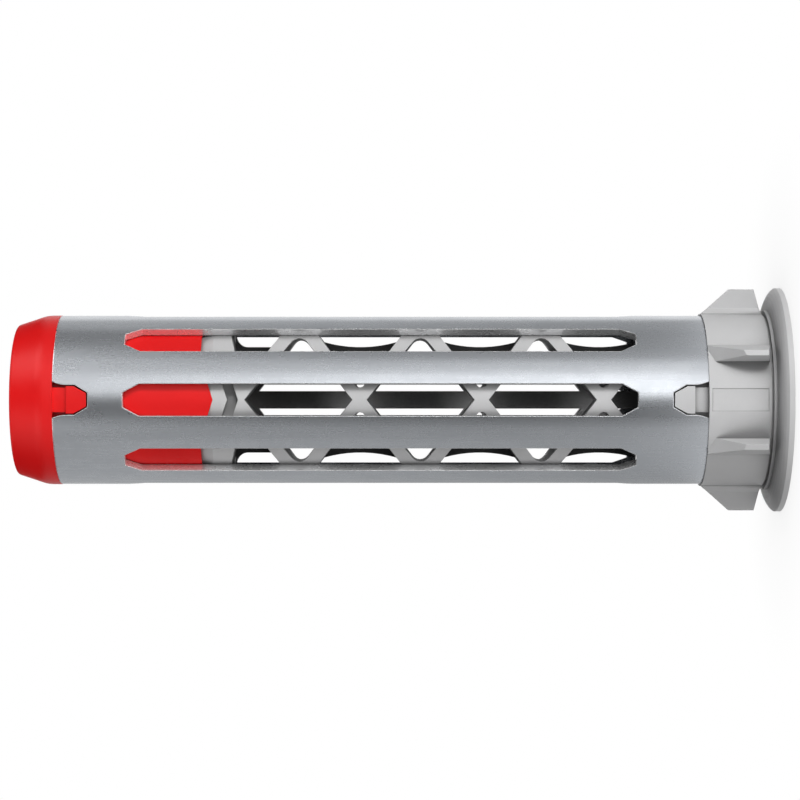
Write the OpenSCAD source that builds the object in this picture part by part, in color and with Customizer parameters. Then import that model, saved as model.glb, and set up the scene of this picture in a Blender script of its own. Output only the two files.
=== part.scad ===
// Metal hollow wall anchor: a slotted steel sleeve held between a moulded collar and a nose.
// The flange's outer face lies at z = 0, and the axis runs up +Z to the tip of the nose.
// The front, with the panel on the collar and one pair of keys, faces -Y.

/* [Steel sleeve] */
// Outside diameter of the rolled sleeve
sleeve_d = 11.8; // [11:0.1:13]
// Thickness of the sheet
sleeve_wall = 0.58; // [0.3:0.02:0.7]
// Length of the sleeve between the collar and the nose
sleeve_len = 44.7; // [40:0.1:60]
// Number of long slots round the sleeve
slot_count = 8; // [4:4:8]
// Width of a long slot
slot_w = 2.2; // [1.4:0.1:2.6]
// Plain band between a long slot and each end of the sleeve
slot_margin = 4.8; // [4:0.1:8]
// Length of a slot's tapered end
slot_taper = 1.1; // [0.5:0.1:2]
// Width of a slot at its very end
slot_end_w = 1; // [0.6:0.1:1.4]

/* [Notches and keys] */
// Width of the notch in each end of the sleeve
notch_w = 2.05; // [1.6:0.05:2.6]
// Depth of the notch along the sleeve
notch_depth = 2.42; // [2:0.02:3]
// Length of the notch's tapered end
notch_taper = 0.88; // [0.4:0.02:1.2]
// Width of the notch at its very end
notch_end_w = 1; // [0.6:0.1:1.4]
// How far each side of the notch flares out at its mouth
notch_flare = 0.24; // [0.05:0.01:0.4]
// Length of the flared mouth, and of a key's thinner neck
notch_mouth = 0.95; // [0.5:0.05:1.1]
// Gap all round a key in its notch
key_gap = 0.09; // [0.04:0.01:0.15]
// How far a key's neck lies below its head
key_step = 0.28; // [0.1:0.02:0.4]

/* [Collar] */
// Height of the collar from the flange's outer face to the sleeve's seat
collar_h = 5.57; // [4.5:0.01:9]
// Diameter of the collar
collar_d = 12.08; // [11.6:0.02:14]
// Diameter of the flange
flange_d = 15.66; // [14.6:0.02:20]
// Straight height of the flange's rim
rim_h = 0.37; // [0.2:0.01:0.8]
// Height of the flange's crowned underside above the rim
crown_h = 0.6; // [0.3:0.05:0.9]
// Angle at which the crowned underside starts from the rim
crown_turn = 22; // [10:2:40]
// Diameter of the thin ring under the collar
neck_ring_d = 12.6; // [12.2:0.02:14.4]
// Height of the thin ring under the collar
neck_ring_h = 0.22; // [0.1:0.02:0.4]
// Width and depth of the fine groove above the ring
neck_groove = 0.12; // [0.06:0.01:0.2]
// Length of the flat panel on the front of the collar
panel_len = 3.86; // [2:0.02:4.5]
// Width of the flat panel
panel_w = 1.55; // [0.8:0.05:2]
// Depth of the flat panel at its middle
panel_depth = 0.09; // [0.06:0.01:0.2]

/* [Fins] */
// Diameter over the tips of the anti-turn fins
fin_d = 15.5; // [14:0.1:17]
// Thickness of a side fin at its tip
fin_t = 0.44; // [0.3:0.02:0.8]
// Thickness of a front or rear fin at its furthest reach
front_fin_t = 0.1; // [0.06:0.02:0.4]
// Thickness a fin gains on each side where it joins the collar
fin_root = 0.5; // [0.2:0.05:0.8]
// Height of that thicker root
fin_root_h = 0.4; // [0.2:0.05:0.6]
// Slope of a fin's ramp, as drop for each unit outwards
fin_ramp = 1.12; // [0.8:0.02:1.5]
// Rise of a fin's lower edge from the collar to its tip
fin_heel = 0.48; // [0.2:0.02:1]
// Distance of a front or rear fin's inner edge from the middle
fin_offset = 3.15; // [2.6:0.05:3.6]
// Lean of the front and rear fins' inner flank
fin_lean = 0.65; // [0.3:0.05:0.9]

/* [Collapsible core] */
// Gap between the mouldings and the inside of the sleeve
core_gap = 0.05; // [0.03:0.01:0.15]
// Diameter of the screw entry through the collar
entry_d = 6.6; // [6.5:0.1:7.4]
// Diameter of the screw channel through the lattice
channel_d = 6.1; // [5.6:0.1:6.3]
// Number of lattice cells between the root and the end ring
cells = 3; // [2:1:4]
// Distance from the sleeve's seat to the first crossing
first_cross = 7.11; // [6.5:0.01:9]
// Length of the solid root inside the sleeve
root_len = 2.93; // [2.5:0.01:3.5]
// Width of a lattice strut along the axis, at the middle of the core
strut_w = 1.25; // [0.8:0.05:1.6]
// Distance from the axis at which the middles of two struts meet
strut_reach = 5.37; // [5:0.01:6]
// Width of a crossing between the round reliefs beside it, at the middle of the core
cross_waist = 1.8; // [1.4:0.02:2.2]
// Radius of the round relief beside each crossing
cross_relief = 0.36; // [0.2:0.02:0.5]
// Radius of the fillet where two struts meet at the core's side
side_fillet = 0.65; // [0.3:0.05:1.1]
// How much larger a window is at the front and rear of the core than at its middle
window_draft = 1.04; // [1:0.01:1.08]
// Width of the side bars and the rear spine
bar_w = 1.25; // [0.8:0.05:1.6]
// Distance from the axis to the hollow of a long bar
bar_waist = 3.69; // [3.5:0.01:4.2]
// Radius of the hollow in a long bar
bar_sweep = 9.25; // [8:0.25:14]
// Radius of the corner where a long bar runs into the end ring
end_sweep = 0.85; // [0.4:0.05:1.2]
// Length of the straight hollow in a long bar below the end ring
end_hollow_len = 3.1; // [2.4:0.1:3.4]
// Length of the solid end ring
ring_len = 2.4; // [2:0.1:4]
// Rise of the end ring's lower face, for each unit outwards
ring_slope = 0.28; // [0.1:0.02:0.5]
// Depth of the taper round the end ring's upper edge
ring_taper = 0.2; // [0.1:0.02:0.4]
// Length of that taper
ring_taper_len = 0.8; // [0.4:0.1:1.2]
// Distance from the end ring down to the last crossing
cross_drop = 0.17; // [0:0.01:0.5]
// Depth of the vee where the nose seats in the end ring
vee_depth = 0.9; // [0.4:0.05:1.2]
// Half the width of that vee
vee_half_w = 2.7; // [2:0.1:4]
// Distance from the vee down to the chevron groove
chevron_drop = 0.98; // [0.6:0.02:1.1]
// Width of the chevron groove along the axis
chevron_w = 0.74; // [0.4:0.02:0.9]
// Depth of the chevron groove
chevron_depth = 0.55; // [0.2:0.05:1]

/* [Nose] */
// Diameter of the nose at the sleeve
nose_d = 11.84; // [11.6:0.02:13.4]
// Length of the nose beyond the sleeve
nose_len = 3.03; // [2:0.01:6]
// Length of the nose's straight part
nose_straight = 0.9; // [0.6:0.1:1.4]
// Radius of the blend between the nose's straight part and its taper
nose_blend = 2.5; // [1:0.1:3]
// Diameter of the nose at its front edge
nose_front_d = 10.6; // [9:0.1:11]
// Radius of the nose's front edge
nose_round = 0.25; // [0.1:0.05:0.5]
// Length of the nose's shank inside the sleeve
shank_len = 10; // [8:0.1:12]
// Diameter of the pilot hole that the screw bites into
pilot_d = 4.6; // [3.6:0.1:5]
// Depth of the lead-in cone at the pilot hole's inner end
lead_in = 0.8; // [0.3:0.1:1.5]

/* [Hidden] */
$fn = 96;
// Overshoot of a cutter past the face that it leaves
over = 1;
// Overlap between shapes that join into one solid
bite = 0.2;
// Straight steps along a curved edge
arc_steps = 6;

sleeve_r = sleeve_d / 2;
core_r = sleeve_r - sleeve_wall - core_gap;
collar_r = collar_d / 2;
flange_r = flange_d / 2;
fin_r = fin_d / 2;
channel_r = channel_d / 2;
sleeve_top = collar_h + sleeve_len;
core_top = sleeve_top - shank_len;
ring_z = core_top - ring_len;
cross_z0 = collar_h + first_cross;
cross_z1 = ring_z - cross_drop;
pitch = (cross_z1 - cross_z0) / cells;
strut_half_x = strut_w * strut_reach / pitch;
strut_lean = atan(pitch / 2 / strut_reach);
ring_low_z = rim_h + crown_h;
neck_z = ring_low_z + neck_ring_h + neck_groove;
key_len = notch_depth - key_gap;
key_half_w = notch_w / 2 - key_gap;
key_end_half_w = notch_end_w / 2 - key_gap / 2;

// Points along an arc round a middle point
function arc(middle, radius, from, to) = [
    for (i = [0:arc_steps]) let (turn = from + (to - from) * i / arc_steps)
        middle + radius * [cos(turn), sin(turn)]
];

// An outline drawn in x and z, pushed out from the axis towards -Y and turned about the axis
module toward(angle, reach) {
    rotate([0, 0, angle]) rotate([90, 0, 0]) linear_extrude(reach) children();
}

// An outline drawn in x and z, pushed through the axis along Y
module through_y(width) {
    rotate([90, 0, 0]) linear_extrude(width, center = true) children();
}

// A long slot with tapered ends
module slot_outline() {
    low = collar_h + slot_margin;
    high = sleeve_top - slot_margin;
    polygon([
        [-slot_end_w / 2, low], [slot_end_w / 2, low],
        [slot_w / 2, low + slot_taper], [slot_w / 2, high - slot_taper],
        [slot_end_w / 2, high], [-slot_end_w / 2, high],
        [-slot_w / 2, high - slot_taper], [-slot_w / 2, low + slot_taper]
    ]);
}

// Half-width of the notch's curved mouth, at a share of the mouth's length from the sleeve's end
function mouth_half_w(share) = notch_w / 2 + notch_flare * pow(1 - share, 2);

// An end notch, with the sleeve's end at y = 0 and the notch running up
module notch_outline() {
    side = concat(
        [[mouth_half_w(0), -over]],
        [for (i = [0:arc_steps]) [mouth_half_w(i / arc_steps), notch_mouth * i / arc_steps]],
        [[notch_w / 2, notch_depth - notch_taper], [notch_end_w / 2, notch_depth]]
    );
    polygon(concat(side, [for (i = [len(side) - 1:-1:0]) [-side[i][0], side[i][1]]]));
}

// The head of a key, on the same outline as the notch with its gap all round
module key_head_outline() {
    polygon([
        [-key_half_w, notch_mouth], [key_half_w, notch_mouth],
        [key_half_w, key_len - notch_taper], [key_end_half_w, key_len],
        [-key_end_half_w, key_len], [-key_half_w, key_len - notch_taper]
    ]);
}

// The thinner neck of a key, from the shoulder to the head
module key_neck_outline() {
    half_w = key_half_w - key_gap;
    translate([-half_w, -bite]) square([2 * half_w, notch_mouth + 2 * bite]);
}

// A pair of keys that stand up from the shoulder at z = 0, one in front and one behind
module keys() {
    for (angle = [0, 180]) {
        intersection() {
            toward(angle, sleeve_r + over) key_head_outline();
            ring(core_r - bite, sleeve_r, 0, notch_depth);
        }
        intersection() {
            toward(angle, sleeve_r + over) key_neck_outline();
            ring(core_r - bite, sleeve_r - key_step, -bite, notch_depth);
        }
    }
}

// A plain ring round the axis
module ring(inner_r, outer_r, low, high) {
    translate([0, 0, low]) difference() {
        cylinder(r = outer_r, h = high - low);
        translate([0, 0, -over]) cylinder(r = inner_r, h = high - low + 2 * over);
    }
}

// Steel sleeve: the rolled tube with its long slots and end notches
module steel_sleeve() {
    color("silver") difference() {
        ring(sleeve_r - sleeve_wall, sleeve_r, collar_h, sleeve_top);
        for (i = [0:slot_count - 1]) toward(i * 360 / slot_count, sleeve_r + over) slot_outline();
        for (angle = [0, 180]) {
            toward(angle, sleeve_r + over) translate([0, collar_h]) notch_outline();
            toward(angle, sleeve_r + over) translate([0, sleeve_top]) mirror([0, 1]) notch_outline();
        }
    }
}

// Flange, thin ring and collar as one turned profile
module collar_body() {
    reach = (flange_r - neck_ring_d / 2) / cos(crown_turn);
    rise = crown_h / (1 - sin(crown_turn));
    crown = [for (i = [0:arc_steps]) let (turn = crown_turn + (90 - crown_turn) * i / arc_steps) [
        neck_ring_d / 2 + reach * cos(turn),
        rim_h + rise * (sin(turn) - sin(crown_turn))
    ]];
    rotate_extrude() polygon(concat(
        [[0, 0], [flange_r, 0]],
        crown,
        [
            [neck_ring_d / 2, ring_low_z + neck_ring_h],
            [collar_r - neck_groove, ring_low_z + neck_ring_h],
            [collar_r - neck_groove, neck_z], [collar_r, neck_z],
            [collar_r, collar_h], [0, collar_h]
        ]
    ));
}

// Side outline of a fin: its reach from the axis across, and the height up
module fin_outline(base, reach) {
    polygon([
        [base - over, neck_z], [base, neck_z], [reach, neck_z + fin_heel],
        [reach, collar_h - (reach - base) * fin_ramp], [base, collar_h], [base - over, collar_h]
    ]);
}

// Fin at the side, a flat blade with a thicker root
module side_fin() {
    root_x = collar_r + fin_root_h;
    intersection() {
        through_y(collar_d) fin_outline(collar_r - bite / 2, fin_r);
        linear_extrude(collar_h) polygon([
            [collar_r - over, -fin_t / 2 - fin_root], [collar_r, -fin_t / 2 - fin_root],
            [root_x, -fin_t / 2], [fin_r, -fin_t / 2],
            [fin_r, fin_t / 2], [root_x, fin_t / 2],
            [collar_r, fin_t / 2 + fin_root], [collar_r - over, fin_t / 2 + fin_root]
        ]);
    }
}

// Fin at the front, a blade along the direction in which the mould opens
module front_fin() {
    inner_x = fin_offset - fin_lean;
    outer_x = fin_offset + front_fin_t + fin_root;
    base = sqrt(pow(collar_r, 2) - pow(fin_offset + fin_t / 2, 2));
    intersection() {
        rotate([0, 0, -90]) through_y(collar_d) fin_outline(base, fin_r);
        linear_extrude(collar_h) polygon([
            [inner_x, -base], [fin_offset, -fin_r], [fin_offset + front_fin_t, -fin_r],
            [outer_x, bite - base], [fin_offset, over - base]
        ]);
        cylinder(r = fin_r, h = collar_h);
    }
}

// The six fins, each mirrored across the middle
module fins() {
    for (side = [0, 1]) mirror([side, 0, 0]) {
        side_fin();
        for (face = [0, 1]) mirror([0, face, 0]) front_fin();
    }
}

// A full window between two crossings, with its middle at the origin and its side corners rounded
module middle_window() {
    corner_x = strut_reach - strut_half_x - side_fillet / sin(strut_lean);
    tip_z = (pitch - strut_w) / 2;
    polygon(concat(
        [[0, -tip_z]],
        arc([corner_x, 0], side_fillet, strut_lean - 90, 90 - strut_lean),
        [[0, tip_z]],
        arc([-corner_x, 0], side_fillet, 90 + strut_lean, 270 - strut_lean)
    ));
}

// A window beside a crossing, open past the core, with the channel's wall at the origin
module side_window() {
    far_x = core_r + over;
    far_z = (far_x - strut_half_x) * tan(strut_lean);
    polygon(concat(
        arc([cross_waist / 2 + cross_relief - channel_r, 0], cross_relief, 90, 270),
        [[far_x - channel_r, -far_z], [far_x - channel_r, far_z]]
    ));
}

// A window cut from the middle of the core to its front and rear, with the mould's draft
module drafted_window(x, z) {
    reach = core_r + over;
    spread = 1 + (window_draft - 1) * reach / core_r;
    for (face = [0, 1]) mirror([0, face, 0])
        translate([x, 0, z]) rotate([90, 0, 0]) linear_extrude(reach, scale = spread) children();
}

// The tube from the root to the end ring, with the windows beside the crossings
module crossed_tube() {
    difference() {
        ring(channel_r, core_r, collar_h + root_len - bite, ring_z + bite);
        for (i = [0:cells]) for (side = [0, 1])
            mirror([side, 0, 0]) drafted_window(channel_r, cross_z0 + i * pitch) side_window();
    }
}

// A round hollow in a pair of bars, on both sides of the axis
module hollows(z) {
    for (side = [-1, 1]) translate([side * (bar_waist + bar_sweep), z]) circle(bar_sweep);
}

// The straight hollow in a pair of bars below the end ring, with its round corner at the ring
module end_hollows() {
    for (side = [0, 1]) mirror([side, 0]) translate([bar_waist, ring_z + bite - end_hollow_len]) {
        square([core_r, end_hollow_len - end_sweep]);
        translate([end_sweep, 0]) square([core_r, end_hollow_len + over]);
        translate([end_sweep, end_hollow_len - end_sweep]) circle(end_sweep);
    }
}

// A pair of long bars with hollows, from the given height upwards
module bars(hollow_z0, hollow_count) {
    intersection() {
        through_y(bar_w) difference() {
            translate([-core_r, collar_h]) square([2 * core_r, ring_z + bite - collar_h]);
            for (i = [0:hollow_count - 1]) hollows(hollow_z0 + i * pitch);
            end_hollows();
        }
        ring(channel_r, core_r, collar_h, ring_z + bite);
    }
}

// The spine, one long bar at the rear
module spine() {
    intersection() {
        rotate([0, 0, 90]) bars(cross_z0 - pitch / 2, cells + 1);
        translate([-core_r, 0, 0]) cube([2 * core_r, core_r, core_top]);
    }
}

// The lattice of crossing struts and side bars, open along the direction in which the mould opens
module lattice() {
    difference() {
        union() {
            crossed_tube();
            bars(cross_z0, cells);
            end_ring();
        }
        for (i = [0:cells]) drafted_window(0, cross_z0 + (i - 0.5) * pitch) middle_window();
    }
}

// The vee in which the nose seats, drawn below the core's top
module vee_outline(overshoot) {
    slope = vee_half_w / vee_depth;
    polygon([
        [0, core_top - vee_depth],
        [vee_half_w + slope * overshoot, core_top + overshoot],
        [-vee_half_w - slope * overshoot, core_top + overshoot]
    ]);
}

// Chevron groove below the vee
module chevron_outline() {
    apex = core_top - vee_depth - chevron_drop;
    rise = vee_depth;
    polygon([
        [0, apex], [vee_half_w, apex + rise], [vee_half_w, apex + rise - chevron_w],
        [0, apex - chevron_w], [-vee_half_w, apex + rise - chevron_w], [-vee_half_w, apex + rise]
    ]);
}

// Side outline of the end ring, with its sloped lower face
module ring_outline() {
    middle_z = ring_z - ring_slope * channel_r;
    edge_z = middle_z + ring_slope * sleeve_r;
    polygon([
        [0, middle_z], [sleeve_r, edge_z], [sleeve_r, core_top],
        [-sleeve_r, core_top], [-sleeve_r, edge_z]
    ]);
}

// Solid end ring with a tapered upper edge and the vee that the nose seats in
module end_ring() {
    difference() {
        intersection() {
            through_y(sleeve_d) ring_outline();
            rotate_extrude() polygon([
                [channel_r, cross_z1 - pitch / 2], [core_r, cross_z1 - pitch / 2],
                [core_r, core_top - ring_taper_len], [core_r - ring_taper, core_top], [channel_r, core_top]
            ]);
        }
        through_y(sleeve_d) vee_outline(over);
    }
}

// Collar and core: one moulding with flange, fins, keys, lattice and end ring
module collar_core() {
    color("lightgray") difference() {
        union() {
            collar_body();
            fins();
            translate([0, 0, collar_h]) keys();
            ring(channel_r, core_r, collar_h - bite, collar_h + root_len);
            lattice();
            spine();
        }
        translate([0, 0, -over]) cylinder(d = entry_d, h = over + collar_h + root_len);
        translate([0, 0, collar_h]) cylinder(r = channel_r, h = sleeve_len);
        for (angle = [0, 180]) rotate([0, 0, angle])
            translate([0, chevron_depth - core_r, 0]) toward(0, sleeve_r) chevron_outline();
        translate([-panel_w / 2, panel_depth - collar_r - over, (neck_z + collar_h - panel_len) / 2])
            cube([panel_w, over, panel_len]);
    }
}

// Nose outside the sleeve, with its tapered side and rounded front edge
module nose_body() {
    nose_z = sleeve_top + nose_len;
    taper = atan((nose_d - nose_front_d) / 2 / (nose_len - nose_straight));
    blend_z = sleeve_top + nose_straight - nose_blend * tan(taper / 2);
    rotate_extrude() polygon(concat(
        [[0, sleeve_top], [nose_d / 2, sleeve_top]],
        arc([nose_d / 2 - nose_blend, blend_z], nose_blend, 0, taper),
        arc([nose_front_d / 2 - nose_round, nose_z - nose_round], nose_round, taper, 90),
        [[0, nose_z]]
    ));
}

// Nose tip: the tapered nose with its keys, shank, vee and pilot hole
module nose_tip() {
    color("red") difference() {
        union() {
            nose_body();
            translate([0, 0, sleeve_top]) mirror([0, 0, 1]) keys();
            translate([0, 0, core_top]) cylinder(r = core_r, h = shank_len + bite);
            intersection() {
                through_y(sleeve_d) vee_outline(bite);
                translate([0, 0, core_top - vee_depth]) cylinder(r = core_r, h = vee_depth + bite);
            }
        }
        translate([0, 0, core_top - vee_depth - over])
            cylinder(d = pilot_d, h = vee_depth + shank_len + nose_len + 2 * over);
        translate([0, 0, core_top - vee_depth])
            cylinder(r1 = channel_r, r2 = pilot_d / 2, h = vee_depth + lead_in);
    }
}

steel_sleeve();
collar_core();
nose_tip();
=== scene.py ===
"""Looks of a metal hollow wall anchor: materials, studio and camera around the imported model."""
import math

import bpy
from mathutils import Matrix, Vector

MM = 0.001

# Photograph: a side view with the nose to the left, so the camera is rolled a quarter turn
IMAGE_PX = 800
PX_PER_MM = 14.24
SENSOR_MM = 36.0
VIEW_DISTANCE_MM = 182.6
VIEW_CENTRE_Z_MM = 26.59
VIEW_CENTRE_X_MM = -0.01
CLIP_START_MM = 10.0

# Heights: where the collar rises from the flange, and where the collar covers the sheet's edge
FLANGE_TOP_MM = (1.0, 1.6)
COVERED_EDGE_MM = (5.67, 5.77)

# Radii between which the core's painted shade fades, the collar's painted shade takes over and the fins
# stand clear of it
CORE_RADIUS_MM = (4.4, 4.9)
OPEN_RADIUS_MM = (5.4, 5.6)
FIN_RADIUS_MM = (6.04, 6.24)

# Painted shade from free room: how light the core's shallow faces stay, and the soft dark lines painted on
# the collar beside the fins
SHALLOW_LIGHT = 0.35
CREASE_REACH_MM = 2.4
CREASE_ROOM = (0.42, 0.92)
CREASE_LIGHT = 0.12
ROOM_SAMPLES = 12

# Edges and walls: rounding, and the facing that tells worn edges and cut walls from the sheet's faces
EDGE_SAMPLES = 12
SHEET_ROUND_MM = 0.09
MOULD_ROUND_MM = 0.05
WORN_FACING = (0.84, 0.97)
ROLLED_FACING = (0.5, 0.8)

# Patterns: scale in waves for each millimetre, and the noise values between which a tone changes
STREAKS = {"scale": 5.0, "detail": 3.0, "stretch": (1, 1, 0.04)}
CLOUDS = {"scale": 0.9, "detail": 4.0, "stretch": (1, 1, 0.5)}
DRIFT = {"scale": 0.35, "detail": 3.0}
GRAIN = {"scale": 9.0, "detail": 4.0}
SPANGLE_SCALE = 2.4
TONE_RANGE = (0.3, 0.7)

# Zinc-coated sheet: shares of its patterns, colours, and how pale and how matt its cut walls are
STREAK_SHARE = 0.4
CLOUD_SHARE = 0.5
SPANGLE_SHARE = 0.1
ZINC_DARK = (0.555, 0.58, 0.615)
ZINC_LIGHT = (0.605, 0.63, 0.665)
PALE_STEEL = (0.95, 0.95, 0.95)
WALL_PALE = 0.75
WALL_MATT = 0.39
SHEET_ROUGHNESS = (0.29, 0.26)
SHEET_BUMP = {"distance_mm": 0.002, "strength": 0.05}

# Plastics: what both share, with the share of colour left in painted shade, then each one's own colours,
# gloss, and the reach and free room over which shade is painted, from dark to light
GRAIN_SHARE = 0.3
DRIFT_SHARE = 0.7
PAINTED_SHADE_SHARE = 0.1
ROUGHNESS_DRIFT = 0.05
MOULD_BUMP = {"distance_mm": 0.012, "strength": 0.18}
GREY_PLASTIC = {
    "colour": (0.64, 0.64, 0.645),
    "shade": (0.60, 0.60, 0.605),
    "roughness": 0.45,
    "gloss": 0.35,
    "reach_mm": 8.0,
    "room": (0.32, 0.92),
}
RED_PLASTIC = {
    "colour": (0.85, 0.006, 0.007),
    "shade": (0.81, 0.005, 0.006),
    "roughness": 0.36,
    "gloss": 0.27,
    "reach_mm": 0.8,
    "room": (0.15, 0.50),
}

# World: its light fades from the front to the rear along Y, and towards the nose along Z
WHITE = (1, 1, 1, 1)
FRONT_TO_REAR = (-1.0, 0.4)
AMBIENT_FRONT = 0.98
AMBIENT_REAR = 0.14
FLANGE_TO_NOSE = (-0.5, 0.5)
AMBIENT_NOSE = 0.05

# Floor: a pale round table top, with a soft shadow painted into its glow about the flange, a small share
# of real shadow and a share of plain white
FLOOR_RADIUS_MM = 45.0
FLOOR_STEPS = 96
FLOOR_COLOUR = (0.85, 0.85, 0.85, 1)
FLOOR_ROUGHNESS = 0.9
PAINTED_SHADOW_REACH_MM = 8.0
PAINTED_SHADOW_SAMPLES = 16
PAINTED_SHADOW_ROOM = (0.45, 0.95)
PAINTED_SHADOW_LEVEL = 0.89
FLOOR_FADE_MM = (8.0, 20.0)
FLOOR_WHITE = 0.95

# Cards that only the gloss sees, as angles in degrees from the camera's side towards +X, heights and
# radius in millimetres, and levels at the lower and the upper edge
CARD_STEPS = 24
FAR_MM = 320.0
NEAR_MM = 300.0
CARDS = {
    "grey_card": ((-165, 140), (-150, 130), FAR_MM, (0.27, 0.56)),
    "upper_card": ((58, 110), (-80, 130), NEAR_MM, (0.32, 0.27)),
    "bright_card": ((5, 34), (-60, 130), NEAR_MM, (2.15, 0.85)),
    "soft_card": ((34, 54), (-60, 130), NEAR_MM, (1.08, 0.30)),
    "dark_card": ((-32, 3), (-60, 130), NEAR_MM, (0.03, 0.13)),
    "low_card": ((-55, -34), (-60, 130), NEAR_MM, (0.37, 0.38)),
    "dark_hood": ((-180, 180), (130, 420), FAR_MM, (0.05, 0.05)),
    "nose_card": ((34, 78), (140, 320), NEAR_MM, (4.0, 4.0)),
    "low_nose_card": ((-48, -16), (140, 320), NEAR_MM, (2.2, 2.2)),
}

# Lamps that the camera and the gloss don't see, as angle in degrees from the camera's side towards +X,
# height, distance and size in millimetres, and power in watts
LAMPS = {
    "key": (39, 5, 270, (60, 120), 0.40),
    "low_fill": (-60, -60, 270, (60, 120), 0.065),
    "nose_fill": (-58, 72, 40, (20, 20), 0.0022),
    "rear": (180, 30, 260, (60, 120), 0.36),
    "nose_top": (0, 110, 0, (8, 8), 0.014),
}


def cleared_tree(owner, output_type):
    """The node tree of a material or world, cleared down to a new output, and its surface socket."""
    owner.use_nodes = True
    tree = owner.node_tree
    tree.nodes.clear()
    output = tree.nodes.new(output_type)
    return tree, output.inputs["Surface"]


def shaded_material(name):
    """A new material, its node tree, its surface socket and a Principled shader that isn't linked yet."""
    material = bpy.data.materials.new(name)
    tree, surface = cleared_tree(material, "ShaderNodeOutputMaterial")
    shader = tree.nodes.new("ShaderNodeBsdfPrincipled")
    return material, tree, surface, shader


def feed(tree, socket, value):
    """Link a socket to another one, or set it to a plain number, vector or colour."""
    if isinstance(value, bpy.types.NodeSocket):
        tree.links.new(value, socket)
    else:
        socket.default_value = value


def math_node(tree, operation, *values):
    """A Math node on one to three inputs, each a socket or a number."""
    node = tree.nodes.new("ShaderNodeMath")
    node.operation = operation
    for socket, value in zip(node.inputs, values):
        feed(tree, socket, value)
    return node.outputs["Value"]


def vector_node(tree, operation, *values):
    """A Vector Math node on one or two inputs, each a socket or three numbers."""
    node = tree.nodes.new("ShaderNodeVectorMath")
    node.operation = operation
    for socket, value in zip(node.inputs, values):
        feed(tree, socket, value)
    return node


def ramp(tree, factor, limits, low_value, high_value):
    """A smooth step of a socket from one value to another, between two limits."""
    node = tree.nodes.new("ShaderNodeMapRange")
    node.interpolation_type = "SMOOTHSTEP"
    tree.links.new(factor, node.inputs["Value"])
    node.inputs["From Min"].default_value = limits[0]
    node.inputs["From Max"].default_value = limits[1]
    node.inputs["To Min"].default_value = low_value
    node.inputs["To Max"].default_value = high_value
    return node.outputs["Result"]


def mix_colour(tree, factor, first, second):
    """A colour mix; each colour is a socket or three numbers."""
    node = tree.nodes.new("ShaderNodeMix")
    node.data_type = "RGBA"
    tree.links.new(factor, node.inputs["Factor"])
    for socket, value in ((node.inputs[6], first), (node.inputs[7], second)):
        feed(tree, socket, (*value, 1.0) if isinstance(value, tuple) else value)
    return node.outputs[2]


def mix_vector(tree, factor, first, second):
    """A mix of two vector sockets."""
    node = tree.nodes.new("ShaderNodeMix")
    node.data_type = "VECTOR"
    tree.links.new(factor, node.inputs["Factor"])
    tree.links.new(first, node.inputs[4])
    tree.links.new(second, node.inputs[5])
    return node.outputs[1]


def mix_shader(tree, factor, first, second):
    """A mix of two shaders."""
    node = tree.nodes.new("ShaderNodeMixShader")
    tree.links.new(factor, node.inputs["Fac"])
    tree.links.new(first, node.inputs[1])
    tree.links.new(second, node.inputs[2])
    return node.outputs["Shader"]


def millimetres(tree):
    """The object's own coordinates, in millimetres."""
    place = tree.nodes.new("ShaderNodeTexCoord")
    scaled = vector_node(tree, "SCALE", place.outputs["Object"])
    scaled.inputs["Scale"].default_value = 1 / MM
    return scaled.outputs["Vector"]


def axis_parts(tree, place):
    """The three coordinates of a place, each as a socket."""
    axes = tree.nodes.new("ShaderNodeSeparateXYZ")
    tree.links.new(place, axes.inputs["Vector"])
    return axes.outputs


def from_axis(tree, place):
    """The vector from the anchor's axis to a place."""
    return vector_node(tree, "MULTIPLY", place, (1, 1, 0)).outputs["Vector"]


def noise(tree, place, scale, detail, stretch=(1, 1, 1)):
    """Noise in millimetre coordinates; scale is in waves for each millimetre."""
    mapping = tree.nodes.new("ShaderNodeMapping")
    mapping.inputs["Scale"].default_value = stretch
    tree.links.new(place, mapping.inputs["Vector"])
    node = tree.nodes.new("ShaderNodeTexNoise")
    node.inputs["Scale"].default_value = scale
    node.inputs["Detail"].default_value = detail
    tree.links.new(mapping.outputs["Vector"], node.inputs["Vector"])
    return node.outputs["Fac"]


def spangle(tree, place):
    """Zinc crystals, each with a value of its own."""
    cells = tree.nodes.new("ShaderNodeTexVoronoi")
    cells.inputs["Scale"].default_value = SPANGLE_SCALE
    tree.links.new(place, cells.inputs["Vector"])
    flake = tree.nodes.new("ShaderNodeSeparateColor")
    tree.links.new(cells.outputs["Color"], flake.inputs["Color"])
    return flake.outputs["Red"]


def soft_edges(tree, radius_mm):
    """The surface's direction, with its edges rounded over."""
    node = tree.nodes.new("ShaderNodeBevel")
    node.samples = EDGE_SAMPLES
    node.inputs["Radius"].default_value = radius_mm * MM
    return node.outputs["Normal"]


def bump(tree, relief, normal, distance_mm, strength):
    """A bump on top of a given surface direction."""
    node = tree.nodes.new("ShaderNodeBump")
    node.inputs["Distance"].default_value = distance_mm * MM
    node.inputs["Strength"].default_value = strength
    tree.links.new(relief, node.inputs["Height"])
    tree.links.new(normal, node.inputs["Normal"])
    return node.outputs["Normal"]


def free_edges(tree, place, normal):
    """The rounded direction, but the plain one along the edge that the collar covers."""
    geometry = tree.nodes.new("ShaderNodeNewGeometry")
    free = ramp(tree, axis_parts(tree, place)["Z"], COVERED_EDGE_MM, 0.0, 1.0)
    return mix_vector(tree, free, geometry.outputs["Normal"], normal)


def worn_edges(tree, normal):
    """1 along sharp edges, where the rounded direction leaves the true one, and 0 elsewhere."""
    geometry = tree.nodes.new("ShaderNodeNewGeometry")
    facing = vector_node(tree, "DOT_PRODUCT", geometry.outputs["True Normal"], normal)
    return ramp(tree, facing.outputs["Value"], WORN_FACING, 1.0, 0.0)


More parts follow.
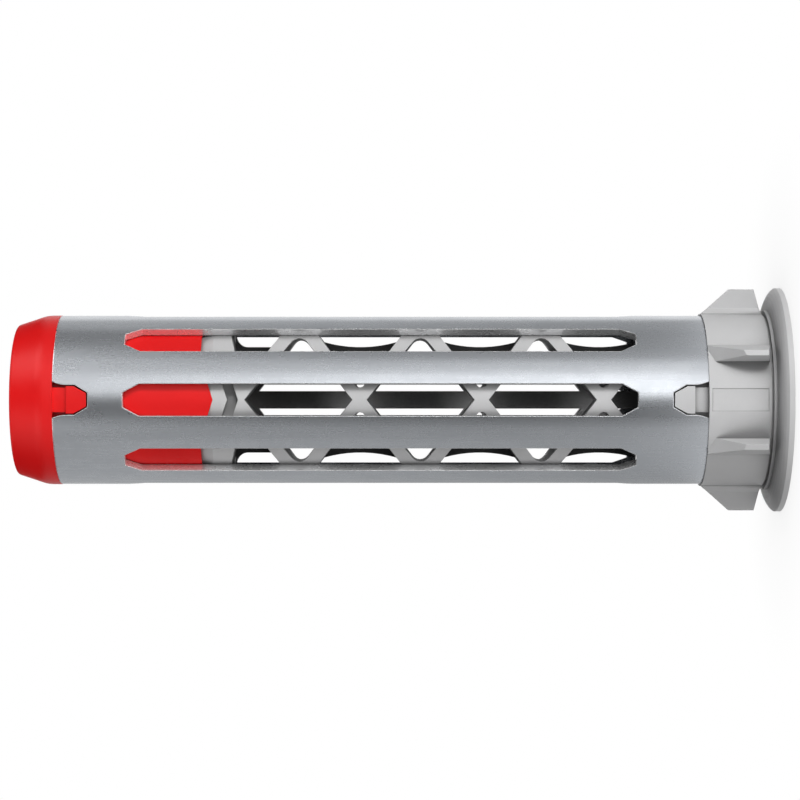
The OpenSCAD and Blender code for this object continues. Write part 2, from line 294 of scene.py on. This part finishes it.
def cut_walls(tree, place):
    """1 on the walls of slots and notches, which face across the sheet, and 0 on its rolled faces."""
    radial = vector_node(tree, "NORMALIZE", from_axis(tree, place))
    geometry = tree.nodes.new("ShaderNodeNewGeometry")
    facing = vector_node(tree, "DOT_PRODUCT", radial.outputs["Vector"], geometry.outputs["True Normal"])
    return ramp(tree, math_node(tree, "ABSOLUTE", facing.outputs["Value"]), ROLLED_FACING, 1.0, 0.0)


def room_about(tree, reach_mm, samples):
    """The share of free room that each point has about it, out to a distance."""
    node = tree.nodes.new("ShaderNodeAmbientOcclusion")
    node.samples = samples
    node.inputs["Distance"].default_value = reach_mm * MM
    return node.outputs["AO"]


def painted_shade_mask(tree, place, reach_mm, room):
    """Painted shade mask: 1 on open faces, less in the corners beside the fins, and 0 far inside the
    sleeve, where the colour is painted dark.
    """
    radius = vector_node(tree, "LENGTH", from_axis(tree, place)).outputs["Value"]
    # Painted shade in the core: the less free room about a face, the darker its colour is painted
    lit = ramp(tree, room_about(tree, reach_mm, ROOM_SAMPLES), room, 0.0, 1.0)
    shallow = ramp(tree, radius, CORE_RADIUS_MM, 0.0, SHALLOW_LIGHT)
    core = math_node(tree, "MAXIMUM", lit, shallow)

    # Painted shade on the collar: soft dark lines in the corners beside the fins, above the flange, with
    # the fins' outer parts left clear
    fin = ramp(tree, radius, FIN_RADIUS_MM, 0.0, 1.0)
    crease_room = room_about(tree, CREASE_REACH_MM, ROOM_SAMPLES)
    crease = ramp(tree, crease_room, CREASE_ROOM, CREASE_LIGHT, 1.0)
    beside = ramp(tree, radius, OPEN_RADIUS_MM, 0.0, 1.0)
    above = ramp(tree, axis_parts(tree, place)["Z"], FLANGE_TOP_MM, 0.0, 1.0)
    outside = math_node(tree, "MULTIPLY", beside, above)
    collar = math_node(tree, "MULTIPLY", math_node(tree, "MAXIMUM", fin, crease), outside)
    return math_node(tree, "MAXIMUM", core, collar)


def galvanised_steel():
    """Zinc-coated sheet: a satin metal with faint spangle, streaks along the axis and pale cut edges."""
    material, tree, surface, shader = shaded_material("galvanised_steel")
    place = millimetres(tree)
    edges = free_edges(tree, place, soft_edges(tree, SHEET_ROUND_MM))
    worn = worn_edges(tree, edges)
    wall = cut_walls(tree, place)

    tone = math_node(tree, "MULTIPLY", noise(tree, place, **CLOUDS), CLOUD_SHARE)
    tone = math_node(tree, "MULTIPLY_ADD", noise(tree, place, **STREAKS), STREAK_SHARE, tone)
    tone = math_node(tree, "MULTIPLY_ADD", spangle(tree, place), SPANGLE_SHARE, tone)
    zinc = mix_colour(tree, ramp(tree, tone, TONE_RANGE, 0.0, 1.0), ZINC_DARK, ZINC_LIGHT)
    pale = math_node(tree, "MAXIMUM", worn, math_node(tree, "MULTIPLY", wall, WALL_PALE))
    matt = math_node(tree, "MAXIMUM", worn, math_node(tree, "MULTIPLY", wall, WALL_MATT))

    tree.links.new(mix_colour(tree, pale, zinc, PALE_STEEL), shader.inputs["Base Color"])
    tree.links.new(ramp(tree, matt, (0.0, 1.0), 1.0, 0.0), shader.inputs["Metallic"])
    tree.links.new(ramp(tree, tone, TONE_RANGE, *SHEET_ROUGHNESS), shader.inputs["Roughness"])
    tree.links.new(bump(tree, tone, edges, **SHEET_BUMP), shader.inputs["Normal"])
    tree.links.new(shader.outputs["BSDF"], surface)
    return material


def moulded_plastic(name, colour, shade, roughness, gloss, reach_mm, room):
    """Moulded plastic: fine mould grain, a slight drift of colour, softened edges, and shade painted into
    its colour in hollows and beside the fins.
    """
    material, tree, surface, shader = shaded_material(name)
    place = millimetres(tree)
    grain = noise(tree, place, **GRAIN)
    drift = noise(tree, place, **DRIFT)
    tone = math_node(tree, "MULTIPLY", drift, DRIFT_SHARE)
    tone = math_node(tree, "MULTIPLY_ADD", grain, GRAIN_SHARE, tone)
    skin = mix_colour(tree, ramp(tree, tone, TONE_RANGE, 0.0, 1.0), shade, colour)
    painted_shade_colour = tuple(PAINTED_SHADE_SHARE * c for c in shade)
    light = painted_shade_mask(tree, place, reach_mm, room)
    sheen = ramp(tree, grain, TONE_RANGE, roughness - ROUGHNESS_DRIFT, roughness + ROUGHNESS_DRIFT)

    # Painted shade: the colour goes towards a tenth of its shade where the mask falls
    tree.links.new(mix_colour(tree, light, painted_shade_colour, skin), shader.inputs["Base Color"])
    tree.links.new(sheen, shader.inputs["Roughness"])
    shader.inputs["Specular IOR Level"].default_value = gloss
    edges = soft_edges(tree, MOULD_ROUND_MM)
    tree.links.new(bump(tree, grain, edges, **MOULD_BUMP), shader.inputs["Normal"])
    tree.links.new(shader.outputs["BSDF"], surface)
    return material


def dress(frame):
    """Give each CAD piece its finish."""
    finishes = {
        "steel_sleeve": galvanised_steel(),
        "collar_core": moulded_plastic("grey_plastic", **GREY_PLASTIC),
        "nose_tip": moulded_plastic("red_plastic", **RED_PLASTIC),
    }
    for node, material in finishes.items():
        for slot in frame["nodes"][node].material_slots:
            slot.material = material


def seen_apart(tree, lit, shown):
    """One shader for the light that falls on it, and another for what the camera, gloss and glass see."""
    rays = tree.nodes.new("ShaderNodeLightPath")
    seen = math_node(tree, "MAXIMUM", rays.outputs["Is Camera Ray"], rays.outputs["Is Glossy Ray"])
    seen = math_node(tree, "MAXIMUM", seen, rays.outputs["Is Transmission Ray"])
    return mix_shader(tree, seen, lit, shown)


def white_world():
    """White all round to the eye; its light comes from the front and fades to the rear and the nose."""
    world = bpy.data.worlds.new("studio")
    tree, surface = cleared_tree(world, "ShaderNodeOutputWorld")
    place = tree.nodes.new("ShaderNodeTexCoord")
    axes = axis_parts(tree, place.outputs["Generated"])
    front = ramp(tree, axes["Y"], FRONT_TO_REAR, AMBIENT_FRONT, AMBIENT_REAR)
    flange = ramp(tree, axes["Z"], FLANGE_TO_NOSE, 1.0, AMBIENT_NOSE)
    light = tree.nodes.new("ShaderNodeBackground")
    light.inputs["Color"].default_value = WHITE
    tree.links.new(math_node(tree, "MULTIPLY", front, flange), light.inputs["Strength"])
    white = tree.nodes.new("ShaderNodeBackground")
    white.inputs["Color"].default_value = WHITE
    tree.links.new(seen_apart(tree, light.outputs["Background"], white.outputs["Background"]), surface)
    bpy.context.scene.world = world


def mesh_object(name, vertices, faces):
    """A mesh object from points in millimetres."""
    mesh = bpy.data.meshes.new(name)
    mesh.from_pydata([Vector(v) * MM for v in vertices], [], faces)
    item = bpy.data.objects.new(name, mesh)
    bpy.context.scene.collection.objects.link(item)
    return item


def floor_finish():
    """A pale surface that looks white further out; its glow is painted darker about the flange as a soft
    shadow, and a small share of it holds the real shadow.
    """
    material, tree, surface, shader = shaded_material("pale_floor")
    shader.inputs["Base Color"].default_value = FLOOR_COLOUR
    shader.inputs["Roughness"].default_value = FLOOR_ROUGHNESS
    white = tree.nodes.new("ShaderNodeEmission")
    # Painted shadow: the white glow dims where the object takes up the room above the floor
    shadow_room = room_about(tree, PAINTED_SHADOW_REACH_MM, PAINTED_SHADOW_SAMPLES)
    tree.links.new(ramp(tree, shadow_room, PAINTED_SHADOW_ROOM, PAINTED_SHADOW_LEVEL, 1.0), white.inputs["Strength"])
    distance = vector_node(tree, "LENGTH", millimetres(tree)).outputs["Value"]
    share = ramp(tree, distance, FLOOR_FADE_MM, FLOOR_WHITE, 1.0)
    shown = mix_shader(tree, share, shader.outputs["BSDF"], white.outputs["Emission"])
    tree.links.new(seen_apart(tree, shader.outputs["BSDF"], shown), surface)
    return material


def pale_floor():
    """A round table top under the flange, which lets the light from below through."""
    turns = [2 * math.pi * i / FLOOR_STEPS for i in range(FLOOR_STEPS)]
    rim = [(FLOOR_RADIUS_MM * math.cos(a), FLOOR_RADIUS_MM * math.sin(a), 0) for a in turns]
    floor = mesh_object("floor", rim, [tuple(range(FLOOR_STEPS))])
    floor.data.materials.append(floor_finish())
    floor.visible_shadow = False
    floor.visible_diffuse = False


def card_finish(name, heights_mm, levels):
    """A plain glow, from one level at the lower edge to another at the upper."""
    material = bpy.data.materials.new(name)
    tree, surface = cleared_tree(material, "ShaderNodeOutputMaterial")
    glow = tree.nodes.new("ShaderNodeEmission")
    height = axis_parts(tree, millimetres(tree))["Z"]
    tree.links.new(ramp(tree, height, heights_mm, *levels), glow.inputs["Strength"])
    tree.links.new(glow.outputs["Emission"], surface)
    return material


def studio_card(name, angles_deg, heights_mm, radius_mm, levels):
    """A curved card round the axis that only the gloss sees."""
    first, last = angles_deg
    turns = [math.radians(first + (last - first) * i / CARD_STEPS) for i in range(CARD_STEPS + 1)]
    points = [(radius_mm * math.sin(a), -radius_mm * math.cos(a), z) for z in heights_mm for a in turns]
    row = len(turns)
    faces = [(i, i + 1, row + i + 1, row + i) for i in range(CARD_STEPS)]
    card = mesh_object(name, points, faces)
    card.data.materials.append(card_finish(name, heights_mm, levels))
    card.visible_camera = False
    card.visible_diffuse = False
    card.visible_shadow = False


def area_lamp(name, angle_deg, height_mm, distance_mm, size_mm, power):
    """A soft box that faces the anchor's middle."""
    data = bpy.data.lights.new(name, "AREA")
    data.shape = "RECTANGLE"
    data.size = size_mm[0] * MM
    data.size_y = size_mm[1] * MM
    data.energy = power
    lamp = bpy.data.objects.new(name, data)
    angle = math.radians(angle_deg)
    lamp.location = Vector((distance_mm * math.sin(angle), -distance_mm * math.cos(angle), height_mm)) * MM
    aim = Vector((0, 0, VIEW_CENTRE_Z_MM * MM)) - lamp.location
    lamp.rotation_euler = aim.to_track_quat("-Z", "Y").to_euler()
    lamp.visible_camera = False
    lamp.visible_glossy = False
    bpy.context.scene.collection.objects.link(lamp)


def studio():
    """The surround that lights the anchor and that its metal reflects."""
    white_world()
    pale_floor()
    for name, card in CARDS.items():
        studio_card(name, *card)
    for name, lamp in LAMPS.items():
        area_lamp(name, *lamp)


def photo_camera():
    """The photograph's camera: level with the middle, looking along +Y, with +X up in the picture."""
    data = bpy.data.cameras.new("camera")
    data.sensor_width = SENSOR_MM
    data.lens = VIEW_DISTANCE_MM * PX_PER_MM / IMAGE_PX * SENSOR_MM
    data.clip_start = CLIP_START_MM * MM
    camera = bpy.data.objects.new("camera", data)
    spot = Vector((VIEW_CENTRE_X_MM, -VIEW_DISTANCE_MM, VIEW_CENTRE_Z_MM)) * MM
    right_up_back = Matrix(((0, 1, 0), (0, 0, -1), (-1, 0, 0)))
    camera.matrix_world = Matrix.Translation(spot) @ right_up_back.to_4x4()
    bpy.context.scene.collection.objects.link(camera)
    bpy.context.scene.camera = camera


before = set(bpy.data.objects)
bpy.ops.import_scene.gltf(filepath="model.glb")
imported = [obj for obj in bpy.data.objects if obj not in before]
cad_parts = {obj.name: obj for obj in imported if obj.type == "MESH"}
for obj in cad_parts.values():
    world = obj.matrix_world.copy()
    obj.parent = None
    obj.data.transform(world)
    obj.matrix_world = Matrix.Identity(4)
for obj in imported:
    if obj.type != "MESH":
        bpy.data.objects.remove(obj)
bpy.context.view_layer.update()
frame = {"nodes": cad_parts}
bpy.context.scene.view_settings.view_transform = "Standard"
dress(frame)
studio()
photo_camera()
